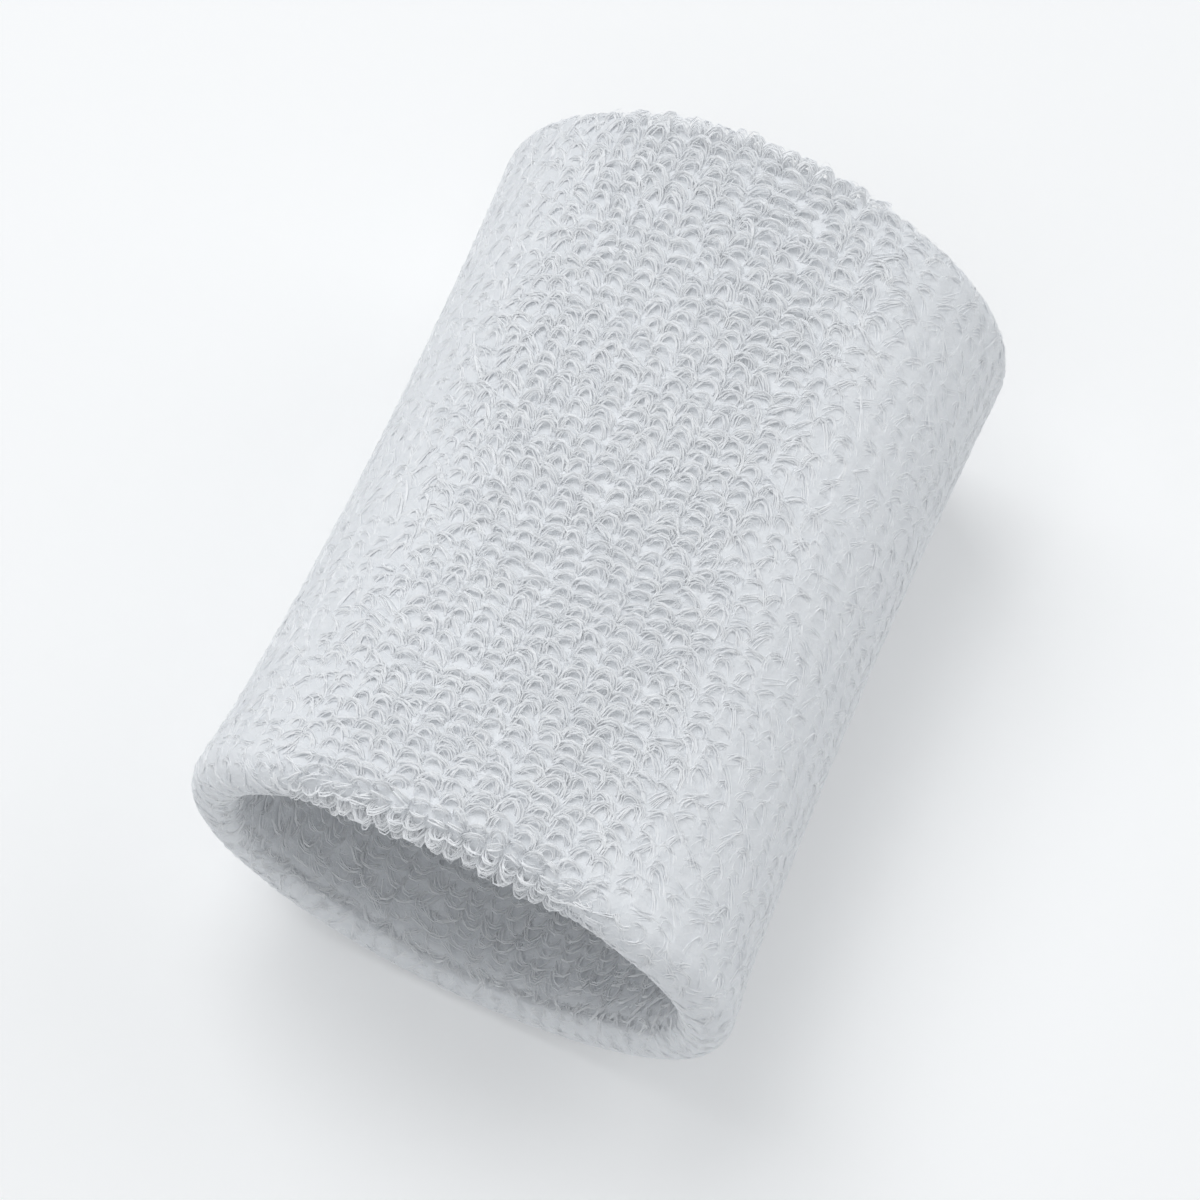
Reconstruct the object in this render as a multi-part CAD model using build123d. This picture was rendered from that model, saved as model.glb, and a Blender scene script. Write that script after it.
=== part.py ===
from build123d import *
import os

# A sweat wristband: one knitted terry tube, folded double on itself, lying on its side.
# The wrist opening runs along Y, the front opening faces -Y, and +Z is up.
# The origin is on the resting plane, under the middle of the band.

# Driving dimensions, millimetres
LENGTH = 76.0             # from fold to fold
END_HALF_WIDTH = 28.8     # across X, at either end, over the loops
END_HALF_HEIGHT = 23.2    # along Z, at either end: a limp band lies a little flat
WAIST = 1.0               # how far the middle draws in, all round
REST_FLAT = 0.12          # how far the loops are pressed flat underneath
PILE = 1.8                # height of the loop pile on either wall
GROUND = 0.5              # thickness of the knitted ground cloth
GAP = 1.0                 # space between the two walls
ELASTIC_THICKNESS = 0.36  # the covered elastic yarn is a flat strip
ELASTIC_WIDTH = 0.6
ELASTIC_PITCH = 4.9
YARN_CLEARANCE = 0.03
STITCH_CLEARANCE = 0.12
SEAM_WIDTH = 4.4
SEAM_THICKNESS = 0.5
SEAM_Y = 24.5             # the closing seam lies between the walls, near the back fold
STITCH_DIAMETER = 0.24
STITCH_LENGTH = 3.52
STITCH_COUNT = 60

# Worked out from the driving dimensions
WALL = 2 * PILE + 2 * GROUND + GAP
FOLD_RADIUS = WALL / 2
GROUND_FOLD_RADIUS = GAP / 2
PILE_FOLD_RADIUS = GROUND_FOLD_RADIUS + GROUND
STRAIGHT_HALF = LENGTH / 2 - FOLD_RADIUS
OUTER_GROUND_DEPTH = PILE
GAP_DEPTH = PILE + GROUND
INNER_GROUND_DEPTH = GAP_DEPTH + GAP
INNER_PILE_DEPTH = INNER_GROUND_DEPTH + GROUND
SEAM_DEPTH = GAP_DEPTH + YARN_CLEARANCE
STITCH_DEPTH = SEAM_DEPTH + SEAM_THICKNESS + STITCH_CLEARANCE
OUTER_ELASTIC_DEPTH = GAP_DEPTH + YARN_CLEARANCE
INNER_ELASTIC_DEPTH = INNER_GROUND_DEPTH - YARN_CLEARANCE - ELASTIC_THICKNESS
WALL_STATIONS = 7         # sections that shape the whole wall
STRIP_STATIONS = 2        # sections that shape a narrow ring


def draw_in(y):
    """How much smaller the band's radius is at y than at its ends."""
    return WAIST * (1 - (y / STRAIGHT_HALF) ** 2)


def half_axes(y, depth):
    """Half width and half height at y of the surface that lies depth under the loop tips."""
    inset = draw_in(y) + depth
    return END_HALF_WIDTH - inset, END_HALF_HEIGHT - inset


def centre_height(y):
    """Height of the opening's centre at y, which keeps the underside straight."""
    return END_HALF_HEIGHT - draw_in(y) - REST_FLAT


def section_plane(y):
    """Upright plane across the band at y, with its own X along the band's width."""
    return Plane(origin=(0, y, centre_height(y)), x_dir=(1, 0, 0), z_dir=(0, -1, 0))


def solid_core(depth, low_y, high_y, stations):
    """Everything inside the surface at this depth, between two places along the band."""
    step = (high_y - low_y) / (stations - 1)
    sections = []
    for index in range(stations):
        y = low_y + index * step
        half_width, half_height = half_axes(y, depth)
        sections.append(section_plane(y) * Ellipse(half_width, half_height))
    return loft(sections)


def sleeve(depth, thickness, low_y, high_y, stations):
    """A ring of the wall, from depth inwards, between two places along the band."""
    outside = solid_core(depth, low_y, high_y, stations)
    return outside - solid_core(depth + thickness, low_y, high_y, stations)


def wall_layer(depth, thickness):
    """A layer of the wall, from depth inwards, over the whole straight stretch."""
    return sleeve(depth, thickness, -STRAIGHT_HALF, STRAIGHT_HALF, WALL_STATIONS)


def strip(depth, thickness, y, width):
    """A narrow ring of the wall about y."""
    return sleeve(depth, thickness, y - width / 2, y + width / 2, STRIP_STATIONS)


def ring_path(y, depth):
    """The closed line round the band at y, depth under the loop tips."""
    half_width, half_height = half_axes(y, depth)
    return section_plane(y) * Edge.make_ellipse(half_width, half_height)


def elastic_yarns(depth):
    """The turns of elastic yarn laid into one wall, clear of the closing seam."""
    count = int(2 * STRAIGHT_HALF / ELASTIC_PITCH)
    rings = []
    for index in range(count):
        y = (index - (count - 1) / 2) * ELASTIC_PITCH
        if abs(y - SEAM_Y) > (SEAM_WIDTH + ELASTIC_WIDTH) / 2:
            rings.append(strip(depth, ELASTIC_THICKNESS, y, ELASTIC_WIDTH))
    return Compound(children=rings)


def back_fold(inner_radius, outer_radius):
    """A half round layer of the rolled end at the back."""
    path = ring_path(STRAIGHT_HALF, FOLD_RADIUS)
    profile_plane = Plane(origin=path @ 0, x_dir=(1, 0, 0), z_dir=path % 0)
    ring = Circle(outer_radius) - Circle(inner_radius)
    away = 1 if profile_plane.y_dir.Y > 0 else -1
    reach = 2 * outer_radius
    half = Pos(0, away * reach / 2) * Rectangle(2 * reach, reach)
    return sweep(profile_plane * (ring & half), path=path)


def rest_cut(shape):
    """Press the underside flat where the band rests."""
    return split(shape, bisect_by=Plane.XY, keep=Keep.TOP)


def seam_stitches():
    """Overlock stitches that lie side by side along the seam allowance."""
    path = ring_path(SEAM_Y, STITCH_DEPTH + STITCH_DIAMETER / 2)
    stitches = []
    for index in range(STITCH_COUNT):
        place = path @ (index / STITCH_COUNT)
        stitch = Cylinder(STITCH_DIAMETER / 2, STITCH_LENGTH, rotation=(90, 0, 0))
        stitches.append(Pos(place) * stitch)
    return Compound(children=stitches)


back_fold_pile = rest_cut(back_fold(PILE_FOLD_RADIUS, FOLD_RADIUS))
back_fold_ground_knit = back_fold(GROUND_FOLD_RADIUS, PILE_FOLD_RADIUS)

nodes = {
    "outer_pile": rest_cut(wall_layer(0, PILE)),
    "outer_ground_knit": wall_layer(OUTER_GROUND_DEPTH, GROUND),
    "outer_elastic_yarns": elastic_yarns(OUTER_ELASTIC_DEPTH),
    "inner_elastic_yarns": elastic_yarns(INNER_ELASTIC_DEPTH),
    "inner_ground_knit": wall_layer(INNER_GROUND_DEPTH, GROUND),
    "inner_pile": wall_layer(INNER_PILE_DEPTH, PILE),
    "front_fold_pile": mirror(back_fold_pile, about=Plane.XZ),
    "front_fold_ground_knit": mirror(back_fold_ground_knit, about=Plane.XZ),
    "back_fold_pile": back_fold_pile,
    "back_fold_ground_knit": back_fold_ground_knit,
    "seam_allowance": strip(SEAM_DEPTH, SEAM_THICKNESS, SEAM_Y, SEAM_WIDTH),
    "seam_stitches": seam_stitches(),
}

os.makedirs("parts", exist_ok=True)
for name, shape in nodes.items():
    export_step(shape, "parts/" + name + ".step")
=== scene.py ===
import math

import bpy
import numpy as np
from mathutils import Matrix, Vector


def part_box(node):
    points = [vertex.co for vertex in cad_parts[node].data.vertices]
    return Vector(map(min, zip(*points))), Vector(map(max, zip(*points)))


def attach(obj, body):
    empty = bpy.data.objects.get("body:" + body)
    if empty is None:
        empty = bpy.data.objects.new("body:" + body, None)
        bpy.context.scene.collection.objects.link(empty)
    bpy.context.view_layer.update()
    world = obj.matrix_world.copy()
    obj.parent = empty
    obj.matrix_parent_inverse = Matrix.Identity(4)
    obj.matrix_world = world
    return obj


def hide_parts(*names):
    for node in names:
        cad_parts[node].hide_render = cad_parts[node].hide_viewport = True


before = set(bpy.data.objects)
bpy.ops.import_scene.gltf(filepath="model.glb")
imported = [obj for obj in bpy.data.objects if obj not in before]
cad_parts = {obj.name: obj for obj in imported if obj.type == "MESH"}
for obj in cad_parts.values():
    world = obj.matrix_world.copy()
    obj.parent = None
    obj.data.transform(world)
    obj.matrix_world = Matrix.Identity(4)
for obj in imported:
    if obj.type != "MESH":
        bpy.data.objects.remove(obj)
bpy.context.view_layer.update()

# The band is one knitted terry tube, folded double and lying on its side. Every piece is made by
# place(), which turns knit coordinates into the band's shape: how far round the ring, how far
# along the folded cloth, and how high over the face of the ground cloth.

MM = 0.001
RNG = np.random.default_rng(764)

# ---------------------------------------------------------------- sizes read from the frame
fold_low, fold_high = (np.array(c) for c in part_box("front_fold_pile"))
ground_low, ground_high = (np.array(c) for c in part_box("front_fold_ground_knit"))
wall_low, wall_high = (np.array(c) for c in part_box("outer_pile"))
HALF_WIDTH = (fold_high[0] - fold_low[0]) / 2
HALF_HEIGHT = (fold_high[2] - fold_low[2]) / 2
STRAIGHT = (wall_high[1] - wall_low[1]) / 2        # half length of the straight walls
TIP_RADIUS = fold_high[1] - fold_low[1]            # the rolled end, over the loop tips
CLOTH_RADIUS = ground_high[1] - ground_low[1]      # the rolled end, at the cloth's face
PILE = TIP_RADIUS - CLOTH_RADIUS
CLOTH = 0.5 * MM                                   # thickness of the ground cloth

# what lies between the walls, a little smaller than in the frame so that it stays clear
ELASTIC_TURNS = 14
ELASTIC_PITCH = 4.9 * MM
ELASTIC_WIDTH, ELASTIC_THICKNESS = 0.56 * MM, 0.32 * MM
ELASTIC_HEIGHT = -0.71 * MM                        # all heights are over the face of the cloth
SEAM_Y = 24.5 * MM
SEAM_WIDTH, SEAM_THICKNESS, SEAM_HEIGHT = 4.3 * MM, 0.46 * MM, -0.78 * MM
SEAM_RIPPLE = 0.15 * MM
SEAM_RUN = SEAM_Y + STRAIGHT
STITCHES = 60
STITCH_LENGTH, STITCH_RADIUS, STITCH_HEIGHT = 3.5 * MM, 0.12 * MM, -1.25 * MM
STITCH_LEAN, STITCH_DIP = 0.25, 0.02 * MM
STITCH_RINGS, STITCH_SIDES = 7, 8
HOOP_STEPS, HOOP_SIDES = 120, 8

# ---------------------------------------------------------------- how the limp band lies
WAIST = 0.95 * MM                # the middle draws in, all round
FRONT_WIDEN, BACK_WIDEN = 0.980, 0.960
FRONT_SQUASH, BACK_SQUASH = 0.965, 1.045
SETTLE_TURN = math.radians(-5.0)   # the band has rolled a little as it settled
FRONT_SKEW, BACK_SKEW = -0.050, -0.030
REST_SOFTNESS = 0.18 * MM

# ---------------------------------------------------------------- the knit
WALES = 60                       # columns of loops round the band
WALL_COURSES = 53                # rows of loops along each wall
FOLD_COURSES = 7                 # rows over each rolled end
LOOP_MIDDLE = 0.65               # the height, as a share of the pile, at which run keeps its length
FOLD_RUN = math.pi * (CLOTH_RADIUS + LOOP_MIDDLE * PILE)
WALL_RUN = 2 * STRAIGHT
WHOLE_RUN = 2 * WALL_RUN + 2 * FOLD_RUN
INNER_START = WALL_RUN + FOLD_RUN
INNER_END = WHOLE_RUN - FOLD_RUN


def ring_angles(samples=4096):
    """Angles round the resting ellipse at equal steps of its length."""
    t = np.linspace(0, 2 * math.pi, samples + 1)
    x = (HALF_WIDTH - TIP_RADIUS) * np.cos(t)
    z = (HALF_HEIGHT - TIP_RADIUS) * np.sin(t)
    length = np.concatenate([[0], np.cumsum(np.hypot(np.diff(x), np.diff(z)))])
    return length / length[-1], t


RING_SHARE, RING_ANGLE = ring_angles()


def place(turn, run, height):
    """World points for arrays of turn (0 to 1 round the band), run (metres along the folded cloth,
    from the front end of the outer wall) and height (metres over the face of the cloth)."""
    turn, run, height = np.broadcast_arrays(turn, run, height)
    angle = np.interp(turn % 1.0, RING_SHARE, RING_ANGLE)
    run = run % WHOLE_RUN
    on_back = np.clip((run - WALL_RUN) / FOLD_RUN, 0, 1)
    on_front = np.clip((run - INNER_END) / FOLD_RUN, 0, 1)
    roll = math.pi * (on_back + on_front)
    out_y = np.clip(run, 0, WALL_RUN) - STRAIGHT
    back_way = np.clip(run - INNER_START, 0, WALL_RUN)
    y = out_y - back_way
    rho = CLOTH_RADIUS + height

    along = np.clip((y / STRAIGHT + 1) / 2, 0, 1)
    drawn = WAIST * (1 - (y / STRAIGHT) ** 2)
    a = HALF_WIDTH * (FRONT_WIDEN + (BACK_WIDEN - FRONT_WIDEN) * along) - drawn - TIP_RADIUS
    b = HALF_HEIGHT * (FRONT_SQUASH + (BACK_SQUASH - FRONT_SQUASH) * along) - drawn - TIP_RADIUS
    cos_t, sin_t = np.cos(angle), np.sin(angle)
    nx, nz = b * cos_t, a * sin_t
    size = np.hypot(nx, nz)
    side = rho * np.cos(roll)
    x = a * cos_t + side * nx / size
    z = b * sin_t + side * nz / size
    y = y + rho * np.sin(roll)

    turn_cos, turn_sin = math.cos(SETTLE_TURN), math.sin(SETTLE_TURN)
    x, z = turn_cos * x + turn_sin * z, turn_cos * z - turn_sin * x
    half = np.hypot((a + TIP_RADIUS) * turn_sin, (b + TIP_RADIUS) * turn_cos)
    z = z + half
    y = y + (FRONT_SKEW + (BACK_SKEW - FRONT_SKEW) * along) * x
    z = REST_SOFTNESS * np.logaddexp(0, z / REST_SOFTNESS)
    return np.stack([x, y, z], axis=-1)


# ---------------------------------------------------------------- mesh helpers
def new_piece(name, points, corners, sizes, material, smooth=True):
    """A mesh object from arrays: points, the corners of every face in one row, each face's size."""
    mesh = bpy.data.meshes.new(name)
    starts = np.concatenate([[0], np.cumsum(sizes)[:-1]])
    mesh.vertices.add(len(points))
    mesh.vertices.foreach_set("co", points.astype(np.float32).ravel())
    mesh.loops.add(len(corners))
    mesh.loops.foreach_set("vertex_index", corners.astype(np.int32))
    mesh.polygons.add(len(sizes))
    mesh.polygons.foreach_set("loop_start", starts.astype(np.int32))
    mesh.polygons.foreach_set("use_smooth", np.full(len(sizes), smooth))
    mesh.update(calc_edges=True)
    mesh.validate()
    mesh.materials.append(material)
    piece = bpy.data.objects.new(name, mesh)
    bpy.context.scene.collection.objects.link(piece)
    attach(piece, "root")
    return piece


def unit(vectors):
    return vectors / np.linalg.norm(vectors, axis=-1, keepdims=True)


def tubes(lines, across, radius, sides):
    """Closed round yarns along many lines at once. lines is (count, rings, 3), across is a vector
    at each point that the yarn never runs along, radius is a number or an array of its own for
    each point, (count, rings)."""
    count, rings = lines.shape[:2]
    tangent = unit(np.gradient(lines, axis=1))
    side = unit(across - (across * tangent).sum(-1, keepdims=True) * tangent)
    up = np.cross(tangent, side)
    beta = np.arange(sides) * 2 * math.pi / sides
    radius = np.broadcast_to(np.asarray(radius, float), (count, rings))[..., None, None]
    spoke = side[:, :, None, :] * np.cos(beta)[None, None, :, None]
    spoke = spoke + up[:, :, None, :] * np.sin(beta)[None, None, :, None]
    points = (lines[:, :, None, :] + radius * spoke).reshape(-1, 3)

    ring = np.arange(rings - 1)[:, None] * sides
    corner = np.arange(sides)[None, :]
    after = (corner + 1) % sides
    walls = np.stack([ring + corner, ring + after, ring + sides + after, ring + sides + corner], -1)
    ends = np.concatenate([np.arange(sides)[::-1], (rings - 1) * sides + np.arange(sides)])
    one = np.concatenate([walls.ravel(), ends])
    corners = (one[None, :] + (np.arange(count) * rings * sides)[:, None]).ravel()
    sizes = np.tile(np.concatenate([np.full((rings - 1) * sides, 4), [sides, sides]]), count)
    return points, corners, sizes


def joined(*meshes):
    """Several meshes, each as points, corners and face sizes, put together as one."""
    starts = np.cumsum([0] + [len(points) for points, corners, sizes in meshes])
    corners = [mesh[1] + start for mesh, start in zip(meshes, starts)]
    return (np.concatenate([mesh[0] for mesh in meshes]), np.concatenate(corners),
            np.concatenate([mesh[2] for mesh in meshes]))


def turned_over(points, corners, sizes):
    """The same mesh of four-sided faces, facing the other way."""
    return points, corners.reshape(-1, 4)[:, ::-1].ravel(), sizes


# ---------------------------------------------------------------- variation over the cloth
# each slow variation is given as its seed, its cells round the band and its cells along run
TURN_DRIFT, RUN_DRIFT = (11, 9, 14), (12, 14, 18)
TALL_DRIFT, LEAN_DRIFT, SIDEWAYS_DRIFT = (13, 12, 22), (14, 10, 16), (15, 10, 16)
OPEN_DRIFT, SEAM_DRIFT = (16, 9, 12), (21, 40, 30)
TURN_WANDER, RUN_WANDER = 0.28 / WALES, 0.32 * MM


def smooth_noise(turn, run, seed, cells_round, cells_along):
    """Slow random variation over the cloth, from -1 to 1, seamless round the band."""
    grid = np.random.default_rng(seed).uniform(-1, 1, (cells_round, cells_along + 1))
    u = (turn % 1.0) * cells_round
    v = (run % WHOLE_RUN) / WHOLE_RUN * cells_along
    i, j = np.floor(u).astype(int), np.floor(v).astype(int)
    fu, fv = u - i, v - j
    fu, fv = fu * fu * (3 - 2 * fu), fv * fv * (3 - 2 * fv)
    i0, i1, j0, j1 = i % cells_round, (i + 1) % cells_round, j % cells_along, (j + 1) % cells_along
    low = grid[i0, j0] * (1 - fu) + grid[i1, j0] * fu
    high = grid[i0, j1] * (1 - fu) + grid[i1, j1] * fu
    return low * (1 - fv) + high * fv


def wander(turn, run):
    """Columns and rows of a knit are never quite straight."""
    turn_off = smooth_noise(turn, run, *TURN_DRIFT) * TURN_WANDER
    run_off = smooth_noise(turn, run, *RUN_DRIFT) * RUN_WANDER
    return turn + turn_off, run + run_off


def along_run(*stops):
    """A function of run that goes straight from stop to stop, each given as (run, value)."""
    runs, values = zip(*stops)
    return lambda run: np.interp(run, runs, values)


# ---------------------------------------------------------------- the terry loops
class Loops:
    """How the loops stand on one stretch of the cloth. Lengths in metres, pitch in columns. A loop
    is a bundle of strands with a few loose filaments round it."""

    def __init__(self, height, pitch=1.0, strands=7, filaments=3, spread=0.30 * MM):
        self.height, self.pitch = height, pitch
        self.strands, self.filaments, self.spread = strands, filaments, spread


YARN_RADIUS, YARN_SIDES = 0.075 * MM, 4
FILAMENT_RADIUS, FILAMENT_SIDES = 0.030 * MM, 3
STRAND_STRAY, FILAMENT_STRAY = 1.0, 3.2   # how far each strays from its bundle
LOOP_RINGS = 8
FOOT_SPREAD = 1.15 * MM          # the legs of a loop spread along the column, which makes its ridge
OPEN_TO, PRESSED_FROM = 0.05, 0.155       # turns away from the middle of the open stretch
OPEN_OUTSIDE, OPEN_INSIDE = 0.245, 0.75   # the turn at that middle: on top outside, below inside
INSIDE_SCALE = 0.55              # the open stretch is wider inside
OPEN_UNEVEN = 0.12
MAT = 1.30 * MM                  # how thick the pile has felted where it is pressed
LEAST_TALL = 0.1 * MM
# what pressing does to a loop, as shares of what it is where the pile stands open
PRESSED_TALL, PRESSED_THICK, PRESSED_LEAN, PRESSED_MESS = 0.14, 0.55, 1.3, 3.0
# the arch of a loop: how far past half a circle it runs on at either foot, as a share of that
# half circle, how deep it dips there, and its half width in columns, at the cloth and added at
# the crown
ARCH_OVERRUN, DIP = 0.12, 0.5
ARCH_HALF_WIDTH, CROWN_WIDER = 0.46, 0.06
# the strands of a loop nest: the outermost is widest, the innermost lowest and narrowest
OUTERMOST_WIDE, NEST_NARROWER, NEST_LOWER = 1.14, 0.60, 0.25
PLY_TURNS = 2.5                  # radians of ply for each radian of arch
FILAMENT_PLACES = (-0.3, 1.0)    # filaments stray to either side of the bundle
TANGENT_STEP = 0.2 * MM

# how unlike one another the loops are, and the strands of one loop
TALL_SPREAD, USUAL_WIDE, WIDE_SPREAD, LEAN_SPREAD = 0.08, 0.96, 0.09, 0.15 * MM
SIDEWAYS_SPREAD, TWIST_SPREAD = 0.10, 0.20 * MM
TALL_SWELL, LEAN_SWELL, SIDEWAYS_SWELL = 0.06, 0.20 * MM, 0.08   # of the slow variations
FOOT_TURN_SPREAD, FOOT_RUN_SPREAD = 0.05, 0.06 * MM
STRAND_SHAPE = 0.05
STRAND_CURL, STRAND_BOW, STRAND_RUN, PLY = 0.04 * MM, 0.10 * MM, 0.05 * MM, 0.04 * MM

# which way the loops lean: over the front end they hang into the opening
lean_along = along_run(
    (0, 0.45 * MM), (2 * MM, 0.85 * MM), (WALL_RUN - 4 * MM, 0.85 * MM),
    (WALL_RUN + FOLD_RUN / 2, 0.30 * MM), (INNER_START + 4 * MM, 1.40 * MM),
    (INNER_END - 4 * MM, 1.20 * MM), (INNER_END, 0.40 * MM),
    (WHOLE_RUN - FOLD_RUN / 2, -0.30 * MM), (WHOLE_RUN, 0.45 * MM))

# how far the loops keep upright as the cloth rolls over each end
upright_along = along_run(
    (0, 0.9), (3 * MM, 1.0), (WALL_RUN - 3 * MM, 1.0), (WALL_RUN, 0.9), (INNER_START, 0.6),
    (INNER_START + 3 * MM, 1.0), (INNER_END - 3 * MM, 0.9), (INNER_END, 0.3),
    (WHOLE_RUN - 0.85 * FOLD_RUN, 1.0), (WHOLE_RUN, 0.9))

# how much of the felted layer there is: less inside the band, most on the front end
mat_along = along_run(
    (0, 1.25), (5 * MM, 1.0), (WALL_RUN + 0.6 * FOLD_RUN, 1.0), (INNER_START + 2 * MM, 0.62),
    (INNER_END - 3 * MM, 0.75), (WHOLE_RUN - 0.8 * FOLD_RUN, 1.3), (WHOLE_RUN, 1.25))

# how much of it is missing where the loops stand open: most on the rolled ends
mat_loss_along = along_run(
    (0, 0.70), (3 * MM, 0.35), (WALL_RUN - 3 * MM, 0.35), (WALL_RUN, 0.65),
    (WALL_RUN + 0.6 * FOLD_RUN, 0.65), (INNER_START, 0.35), (INNER_END, 0.35),
    (WHOLE_RUN - 0.7 * FOLD_RUN, 0.75), (WHOLE_RUN, 0.70))

# the loops at the inner edge of the front end have worked loose and hang longer
hang_along = along_run(
    (WHOLE_RUN - 0.9 * FOLD_RUN, 1.0), (WHOLE_RUN - 0.62 * FOLD_RUN, 1.35),
    (WHOLE_RUN - 0.3 * FOLD_RUN, 1.0))


def openness(turn, run):
    """How upright the loops stand: 1 on top of the band, near 0 where it was handled and pressed.
    Inside the band the open part is underneath, opposite the one outside."""
    inside = (run > WALL_RUN + FOLD_RUN / 2) & (run < WHOLE_RUN - 0.85 * FOLD_RUN)
    middle = np.where(inside, OPEN_INSIDE, OPEN_OUTSIDE)
    away = np.abs((turn - middle + 0.5) % 1.0 - 0.5) * np.where(inside, INSIDE_SCALE, 1.0)
    free = 1 - np.clip((away - OPEN_TO) / (PRESSED_FROM - OPEN_TO), 0, 1)
    free = free * free * (3 - 2 * free) * upright_along(run)
    return np.clip(free + OPEN_UNEVEN * smooth_noise(turn, run, *OPEN_DRIFT), 0, 1)


def mat(turn, run):
    """Height of the felted layer over the cloth."""
    return MAT * (1 - mat_loss_along(run) * openness(turn, run)) * mat_along(run)


def eased(pressed, upright):
    """A share that is 1 where the loops stand open and pressed where they lie flat."""
    return pressed + (1 - pressed) * upright


def loop_lines(turns, runs, kind, loose):
    """Lays out a row of loops whose feet are at turns and runs, and returns a function that gives
    one strand of every loop for the strand's place in the bundle, from 0, outermost, to 1. loose
    is how far a strand strays from its bundle."""
    n = len(turns)
    foot_turn, foot_run = wander(turns, runs)
    upright = openness(turns, runs)
    messy = eased(PRESSED_MESS, upright)
    base = mat(turns, runs)
    tall = np.maximum(kind.height - base, LEAST_TALL) * eased(PRESSED_TALL, upright)
    tall = tall * hang_along(runs)
    uneven = RNG.normal(0, TALL_SPREAD, n) * messy
    tall = tall * (1 + uneven + TALL_SWELL * smooth_noise(turns, runs, *TALL_DRIFT))
    wide = RNG.normal(USUAL_WIDE, WIDE_SPREAD, n)
    lean = lean_along(runs) * eased(PRESSED_LEAN, upright)
    lean = lean + RNG.normal(0, LEAN_SPREAD, n) * messy
    lean = lean + LEAN_SWELL * smooth_noise(turns, runs, *LEAN_DRIFT)
    sideways = RNG.normal(0, SIDEWAYS_SPREAD, n) * messy
    sideways = sideways + SIDEWAYS_SWELL * smooth_noise(turns, runs, *SIDEWAYS_DRIFT)
    twist = RNG.normal(0, TWIST_SPREAD, n) * messy

    # alpha goes over the arch from foot to foot
    alpha = np.linspace(-ARCH_OVERRUN * math.pi, (1 + ARCH_OVERRUN) * math.pi, LOOP_RINGS)[None, :]
    up = np.where(np.sin(alpha) < 0, DIP, 1.0) * np.sin(alpha)
    rise = np.clip(up, 0, 1)
    thick = eased(PRESSED_THICK, upright)[:, None] + 0 * alpha
    ply = PLY * loose

    def strand(nest):
        stray = loose * RNG.normal(0, 1, (6, n, 1))
        phase = RNG.uniform(0, 2 * math.pi, (n, 1))
        own_tall = tall[:, None] * (1 - NEST_LOWER * nest + STRAND_SHAPE * stray[0])
        nested = OUTERMOST_WIDE - NEST_NARROWER * nest
        own_wide = wide[:, None] * (nested + STRAND_SHAPE * stray[1]) * kind.pitch
        out = -np.cos(alpha) * (ARCH_HALF_WIDTH + CROWN_WIDER * rise) * own_wide
        tilt = (sideways[:, None] + STRAND_SHAPE * stray[2]) * kind.pitch * rise
        turn = foot_turn[:, None] + (out + tilt) / WALES
        curl = np.cos(alpha) * (twist[:, None] + STRAND_CURL * stray[3])
        bow = (lean[:, None] + STRAND_BOW * stray[4]) * rise ** 1.5
        foot = RNG.uniform(-0.5, 0.5, (n, 1)) * FOOT_SPREAD * kind.pitch * (1 - rise)
        fan = kind.spread * (0.5 - nest) * rise + foot
        run = foot_run[:, None] + STRAND_RUN * stray[5] + curl + bow + fan
        run = run + ply * np.sin(PLY_TURNS * alpha + phase)
        tip = base[:, None] + own_tall * up + ply * np.cos(PLY_TURNS * alpha + phase) * rise
        ahead = place(turn, run + TANGENT_STEP, tip) - place(turn, run - TANGENT_STEP, tip)
        return place(turn, run, tip), ahead, thick

    return strand


def bundle_mesh(strands, radius, sides):
    """One mesh of many strands, each given as centre lines, a vector across and its thickness."""
    lines, across, thick = (np.concatenate(part) for part in zip(*strands))
    return tubes(lines, across, radius * thick, sides)


def pile(name, node, wales, runs, kind, material):
    """One panel of loops: every row of runs over a stretch of wales, given as (first, last)."""
    columns = np.arange(wales[0], wales[1], kind.pitch) + kind.pitch / 2
    turn, run = np.meshgrid(columns / WALES, runs)
    turn = (turn + RNG.normal(0, FOOT_TURN_SPREAD, turn.shape) / WALES).ravel()
    run = (run + RNG.normal(0, FOOT_RUN_SPREAD, run.shape)).ravel()
    bundle = loop_lines(turn, run, kind, STRAND_STRAY)
    strands = [bundle(k / max(1, kind.strands - 1)) for k in range(kind.strands)]
    stray = loop_lines(turn, run, kind, FILAMENT_STRAY)
    filaments = [stray(RNG.uniform(*FILAMENT_PLACES)) for k in range(kind.filaments)]
    yarns = bundle_mesh(strands, YARN_RADIUS, YARN_SIDES)
    fibres = bundle_mesh(filaments, FILAMENT_RADIUS, FILAMENT_SIDES)
    piece = new_piece(name, *joined(yarns, fibres), material, smooth=False)
    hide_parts(node)
    return piece


# ---------------------------------------------------------------- the ground cloth
STITCH_SLANT = 0.18              # in columns, to and fro in every row
RIB_RELIEF, ROW_RELIEF = 0.07 * MM, 0.05 * MM
FACE_PER_WALE, FACE_PER_COURSE = 4, 3   # mesh points of the cloth's face
BACK_COARSER = 6                 # the back, which nothing shows, has fewer rows by this


def wrapped(turn, run, height):
    """Points, corners and face sizes of a skin that closes on itself both round the band and
    along run."""
    points = place(turn, run, height).reshape(-1, 3)
    rows, columns = turn.shape
    i = np.arange(rows)[:, None] * columns
    i_next = ((np.arange(rows) + 1) % rows)[:, None] * columns
    j = np.arange(columns)[None, :]
    j_next = (j + 1) % columns
    quads = np.stack([i + j, i + j_next, i_next + j_next, i_next + j], -1)
    return points, quads.ravel(), np.full(rows * columns, 4)


def skin(turns, runs, height):
    """A skin round the whole folded cloth, with the knit's small wanderings."""
    turn, run = np.meshgrid(turns, runs)
    bent_turn, bent_run = wander(turn, run)
    return wrapped(bent_turn, bent_run, height(turn, run))


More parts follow.
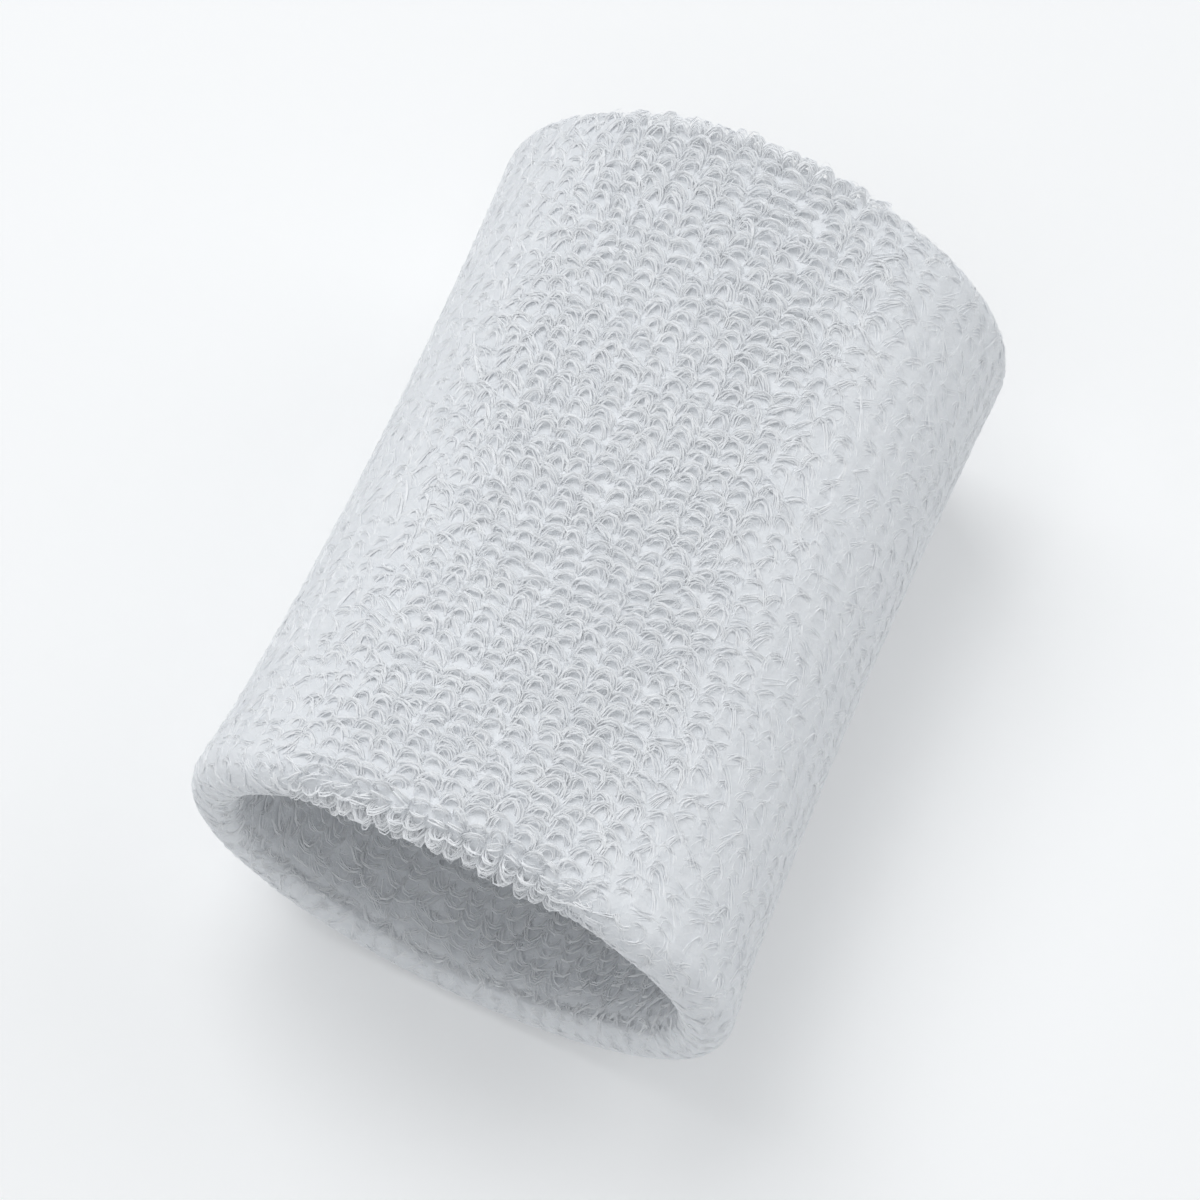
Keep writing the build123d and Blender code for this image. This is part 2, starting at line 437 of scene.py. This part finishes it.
def knit_relief(turn, run):
    """The face of the ground cloth: a rib under each column of loops and a dip between rows."""
    wale, course = turn * WALES, run / (WALL_RUN / WALL_COURSES)
    slant = STITCH_SLANT * np.abs((course % 1.0) - 0.5)
    ribs = np.cos(2 * math.pi * (wale + slant))
    rows = np.cos(2 * math.pi * course)
    return RIB_RELIEF * ribs + ROW_RELIEF * rows + mat(turn, run)


def ground_cloth(material):
    """The knitted tube itself, folded double: its face, which holds the loops, and its back."""
    columns = FACE_PER_WALE * WALES
    turns = np.arange(columns) / columns
    rows = FACE_PER_COURSE * (2 * WALL_COURSES + 2 * FOLD_COURSES)
    runs = np.arange(rows) * WHOLE_RUN / rows
    back_rows = rows // BACK_COARSER
    back_runs = np.arange(back_rows) * WHOLE_RUN / back_rows
    face = turned_over(*skin(turns, runs, knit_relief))
    back = skin(turns[::FACE_PER_WALE], back_runs, lambda turn, run: np.full_like(run, -CLOTH))
    return new_piece("ground_cloth", *joined(face, back), material)


# ---------------------------------------------------------------- hidden between the walls
def squared(wave):
    """A sine or cosine whose circle has been made into a strip with round corners."""
    return np.sign(wave) * np.abs(wave) ** 0.5


def hoop(middle_run, middle_height, width, thickness, ripple):
    """A flat strip that runs once round the band inside the fold, with slightly uneven edges."""
    turns = np.arange(HOOP_STEPS) / HOOP_STEPS
    beta = np.arange(HOOP_SIDES) * 2 * math.pi / HOOP_SIDES
    turn, beta = np.meshgrid(turns, beta)
    uneven = ripple * smooth_noise(turn, np.full_like(turn, middle_run), *SEAM_DRIFT)
    across, upward = squared(np.cos(beta)), squared(np.sin(beta))
    run = middle_run + across * (width / 2 - np.abs(uneven)) + uneven
    return turned_over(*wrapped(turn, run, middle_height + upward * thickness / 2))


def elastic_hoops(node, run_of, material):
    """The turns of flat covered elastic laid along one wall, clear of the seam. run_of gives the
    run of a place y on that wall."""
    places = (np.arange(ELASTIC_TURNS) - (ELASTIC_TURNS - 1) / 2) * ELASTIC_PITCH
    clear = [y for y in places if abs(y - SEAM_Y) > (SEAM_WIDTH + ELASTIC_WIDTH) / 2]
    hoops = [hoop(run_of(y), ELASTIC_HEIGHT, ELASTIC_WIDTH, ELASTIC_THICKNESS, 0) for y in clear]
    piece = new_piece(node, *joined(*hoops), material)
    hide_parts(node)


def seam_allowance(material):
    """The raw edges of the cloth, turned in where the double tube is closed."""
    strip = hoop(SEAM_RUN, SEAM_HEIGHT, SEAM_WIDTH, SEAM_THICKNESS, SEAM_RIPPLE)
    piece = new_piece("seam_allowance", *strip, material)
    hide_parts("seam_allowance")


def seam_stitches(material):
    """Overlock stitches that cross the seam allowance side by side."""
    turn = (np.arange(STITCHES)[:, None] + 0.5) / STITCHES
    along = np.linspace(-1, 1, STITCH_RINGS)[None, :]
    run = SEAM_RUN + along * STITCH_LENGTH / 2
    turn = turn + STITCH_LEAN * along / STITCHES
    height = STITCH_HEIGHT - STITCH_DIP * along ** 2
    lines = place(turn, run, height)
    beside = place(turn + 0.001, run, height) - lines
    piece = new_piece("seam_stitches", *tubes(lines, beside, STITCH_RADIUS, STITCH_SIDES), material)
    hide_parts("seam_stitches")


# ---------------------------------------------------------------- materials
COTTON_SPECULAR = 0.45
ROUGHNESS_SPREAD = 0.12


def principled(name, colour, roughness):
    material = bpy.data.materials.new(name)
    material.use_nodes = True
    shader = material.node_tree.nodes["Principled BSDF"]
    shader.inputs["Base Color"].default_value = (*colour, 1)
    shader.inputs["Roughness"].default_value = roughness
    return material, shader


def add(material, kind, **values):
    """A node with its settings and unlinked inputs. Underscores in names stand for spaces."""
    node = material.node_tree.nodes.new(kind)
    for key, value in values.items():
        socket = key.replace("_", " ").title()
        if socket in node.inputs:
            node.inputs[socket].default_value = value
        else:
            setattr(node, key, value)
    return node


def link(material, source, target):
    material.node_tree.links.new(source, target)


def speckle(material, shader, scale, dark, light, low, high):
    """Colour and roughness that vary from yarn to yarn. Returns the node that says where."""
    place_node = add(material, "ShaderNodeTexCoord")
    noise = add(material, "ShaderNodeTexNoise", scale=scale, detail=3.0, roughness=0.6)
    ramp = add(material, "ShaderNodeValToRGB")
    ramp.color_ramp.elements[0].position, ramp.color_ramp.elements[1].position = low, high
    ramp.color_ramp.elements[0].color, ramp.color_ramp.elements[1].color = (*dark, 1), (*light, 1)
    link(material, place_node.outputs["Object"], noise.inputs["Vector"])
    link(material, noise.outputs["Fac"], ramp.inputs["Fac"])
    link(material, ramp.outputs["Color"], shader.inputs["Base Color"])
    middle = shader.inputs["Roughness"].default_value
    rough = add(material, "ShaderNodeMapRange")
    rough.inputs["To Min"].default_value = middle - ROUGHNESS_SPREAD
    rough.inputs["To Max"].default_value = middle + ROUGHNESS_SPREAD
    link(material, noise.outputs["Fac"], rough.inputs["Value"])
    link(material, rough.outputs["Result"], shader.inputs["Roughness"])
    return place_node


def fibre_bump(material, shader, place_node, scale, strength, distance):
    """Fine relief of the fibres in a yarn."""
    noise = add(material, "ShaderNodeTexNoise", scale=scale, detail=4.0, roughness=0.7)
    bump = add(material, "ShaderNodeBump", strength=strength, distance=distance)
    link(material, place_node.outputs["Object"], noise.inputs["Vector"])
    link(material, noise.outputs["Fac"], bump.inputs["Height"])
    link(material, bump.outputs["Normal"], shader.inputs["Normal"])


def terry_yarn():
    material, shader = principled("terry_yarn", (0.94, 0.95, 0.965), 0.5)
    at = speckle(material, shader, 420.0, (0.93, 0.94, 0.958), (0.96, 0.967, 0.978), 0.35, 0.65)
    fibre_bump(material, shader, at, 9000.0, 0.35, 0.05 * MM)
    shader.inputs["Specular IOR Level"].default_value = COTTON_SPECULAR
    return material


# The ground cloth's yarn is painted a little darker than the loops' yarn. This is painted shade for
# the pockets and the felted layer between the loops, where the loops shade the cloth.
def ground_yarn_painted_shade():
    material, shader = principled("ground_yarn_painted_shade", (0.87, 0.885, 0.91), 0.7)
    at = speckle(material, shader, 900.0, (0.85, 0.868, 0.893), (0.90, 0.913, 0.933), 0.3, 0.7)
    fibre_bump(material, shader, at, 1600.0, 0.55, 0.30 * MM)
    shader.inputs["Specular IOR Level"].default_value = COTTON_SPECULAR
    return material


def elastic_yarn():
    material, shader = principled("elastic_yarn", (0.78, 0.79, 0.80), 0.5)
    at = speckle(material, shader, 700.0, (0.70, 0.71, 0.72), (0.82, 0.83, 0.84), 0.35, 0.65)
    fibre_bump(material, shader, at, 3000.0, 0.6, 0.05 * MM)
    return material


def seam_thread():
    material, shader = principled("seam_thread", (0.86, 0.87, 0.89), 0.45)
    at = speckle(material, shader, 900.0, (0.82, 0.83, 0.85), (0.90, 0.91, 0.93), 0.35, 0.65)
    fibre_bump(material, shader, at, 6000.0, 0.5, 0.04 * MM)
    return material


# ---------------------------------------------------------------- the pieces
PANELS, FOLD_PANELS = 10, 2
TOP_TURN, TOP_REACH = 0.25, 0.15
OUTER_LOOPS = Loops(PILE - 0.15 * MM, filaments=2)
PRESSED_LOOPS = Loops(PILE - 0.15 * MM, strands=4, filaments=2)
INNER_LOOPS = Loops(PILE - 0.20 * MM, strands=4, filaments=1)
FRONT_LOOPS = Loops(PILE + 0.05 * MM, pitch=0.75, strands=5, filaments=2, spread=0.20 * MM)
BACK_LOOPS = Loops(PILE + 0.40 * MM, pitch=0.75, strands=5, filaments=2, spread=0.20 * MM)


def course_runs(start, length, count):
    """Where along run the rows of a stretch lie."""
    return start + (np.arange(count) + 0.5) * length / count


def panel(index, count):
    """First and last column of one of count equal stretches round the band."""
    edges = np.linspace(0, WALES, count + 1).round().astype(int)
    return edges[index], edges[index + 1]


def wall_piles(material):
    """The pile of both walls, panel by panel. Only the panels on top have the fullest loops."""
    outer_runs = course_runs(0, WALL_RUN, WALL_COURSES)
    inner_runs = course_runs(INNER_START, WALL_RUN, WALL_COURSES)
    pieces = []
    for index in range(PANELS):
        wales = panel(index, PANELS)
        on_top = abs((index + 0.5) / PANELS - TOP_TURN) < TOP_REACH
        kind = OUTER_LOOPS if on_top else PRESSED_LOOPS
        for node, runs, loops in (("outer_pile", outer_runs, kind),
                                  ("inner_pile", inner_runs, INNER_LOOPS)):
            pieces.append(pile(f"{node}_{index + 1}", node, wales, runs, loops, material))
    return pieces


def fold_piles(material):
    """The pile of both rolled ends."""
    front_runs = course_runs(INNER_END, FOLD_RUN, FOLD_COURSES)
    back_runs = course_runs(WALL_RUN, FOLD_RUN, FOLD_COURSES)
    ends = [("front_fold_pile", front_runs, FRONT_LOOPS), ("back_fold_pile", back_runs, BACK_LOOPS)]
    pieces = []
    for index in range(FOLD_PANELS):
        for node, runs, kind in ends:
            name = f"{node}_{index + 1}"
            pieces.append(pile(name, node, panel(index, FOLD_PANELS), runs, kind, material))
    return pieces


yarn_material = terry_yarn()
# the ground cloth and the seam allowance take the yarn painted darker as shade between the loops
cloth_material_painted_shade = ground_yarn_painted_shade()
cloth = ground_cloth(cloth_material_painted_shade)
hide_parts("outer_ground_knit", "inner_ground_knit")
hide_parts("front_fold_ground_knit", "back_fold_ground_knit")
pile_pieces = wall_piles(yarn_material) + fold_piles(yarn_material)

elastic_material = elastic_yarn()
elastic_hoops("outer_elastic_yarns", lambda y: STRAIGHT + y, elastic_material)
elastic_hoops("inner_elastic_yarns", lambda y: INNER_START + STRAIGHT - y, elastic_material)
seam_allowance(cloth_material_painted_shade)
seam_stitches(seam_thread())


# ---------------------------------------------------------------- floor, light and camera
FLOOR_HALF, FLOOR_GLOW = 3, 0.10
LIGHT_DISTANCE, LIGHT_SIZE = 0.9, 0.6
PALE_BLUE, SKY_BLUE = (0.985, 0.993, 1.0), (0.93, 0.968, 1.0)
SENSOR, LENS = 36, 109.05         # millimetres
CAMERA_DISTANCE = 0.350
AZIMUTH, ELEVATION = math.radians(23.4), math.radians(65.1)
FRAMING_RIGHT, FRAMING_UP = -0.97 * MM, -1.88 * MM
TARGET = Vector((0, 0, HALF_HEIGHT))


def pale_floor():
    material, shader = principled("pale_floor", (0.93, 0.93, 0.93), 0.9)
    shader.inputs["Emission Color"].default_value = (1, 1, 1, 1)
    shader.inputs["Emission Strength"].default_value = FLOOR_GLOW
    signs = [(-1, -1), (1, -1), (1, 1), (-1, 1)]
    mesh = bpy.data.meshes.new("floor")
    mesh.from_pydata([(x * FLOOR_HALF, y * FLOOR_HALF, 0) for x, y in signs], [], [(0, 1, 2, 3)])
    mesh.materials.append(material)
    floor = bpy.data.objects.new("floor", mesh)
    bpy.context.scene.collection.objects.link(floor)


def world_light(strength, colour):
    world = bpy.data.worlds.new("studio")
    bpy.context.scene.world = world
    world.use_nodes = True
    back = world.node_tree.nodes["Background"]
    back.inputs["Color"].default_value = (*colour, 1)
    back.inputs["Strength"].default_value = strength


def softbox(name, direction, power, colour=(1, 1, 1)):
    """A square lamp that lies in this direction from the band and faces it."""
    data = bpy.data.lights.new(name, "AREA")
    data.shape = "SQUARE"
    data.size = LIGHT_SIZE
    data.energy = power
    data.color = colour
    light = bpy.data.objects.new(name, data)
    light.location = TARGET + direction * LIGHT_DISTANCE
    light.rotation_euler = (-direction).to_track_quat("-Z", "Y").to_euler()
    bpy.context.scene.collection.objects.link(light)


def camera_at(towards, right, up):
    """The camera, which looks against towards, with the band a little off the frame's middle."""
    data = bpy.data.cameras.new("camera")
    data.sensor_width = SENSOR
    data.lens = LENS
    data.clip_start = 0.01
    camera = bpy.data.objects.new("camera", data)
    camera.location = TARGET + towards * CAMERA_DISTANCE + right * FRAMING_RIGHT + up * FRAMING_UP
    camera.rotation_euler = (-towards).to_track_quat("-Z", "Y").to_euler()
    bpy.context.scene.collection.objects.link(camera)
    bpy.context.scene.camera = camera


level = Vector((math.sin(AZIMUTH), -math.cos(AZIMUTH), 0))
towards = level * math.cos(ELEVATION) + Vector((0, 0, math.sin(ELEVATION)))
right = Vector((math.cos(AZIMUTH), math.sin(AZIMUTH), 0))
up = towards.cross(right)
camera_at(towards, right, up)
pale_floor()
world_light(0.40, SKY_BLUE)
softbox("key", -right * 0.25 + up * 0.70 + towards * 0.70, 3.6, PALE_BLUE)
softbox("fill", right * 0.75 + up * 0.45 + towards * 0.55, 1.1)
softbox("front", -right * 0.15 + up * 0.10 + towards * 1.0, 1.0)
bpy.context.scene.view_settings.view_transform = "Standard"
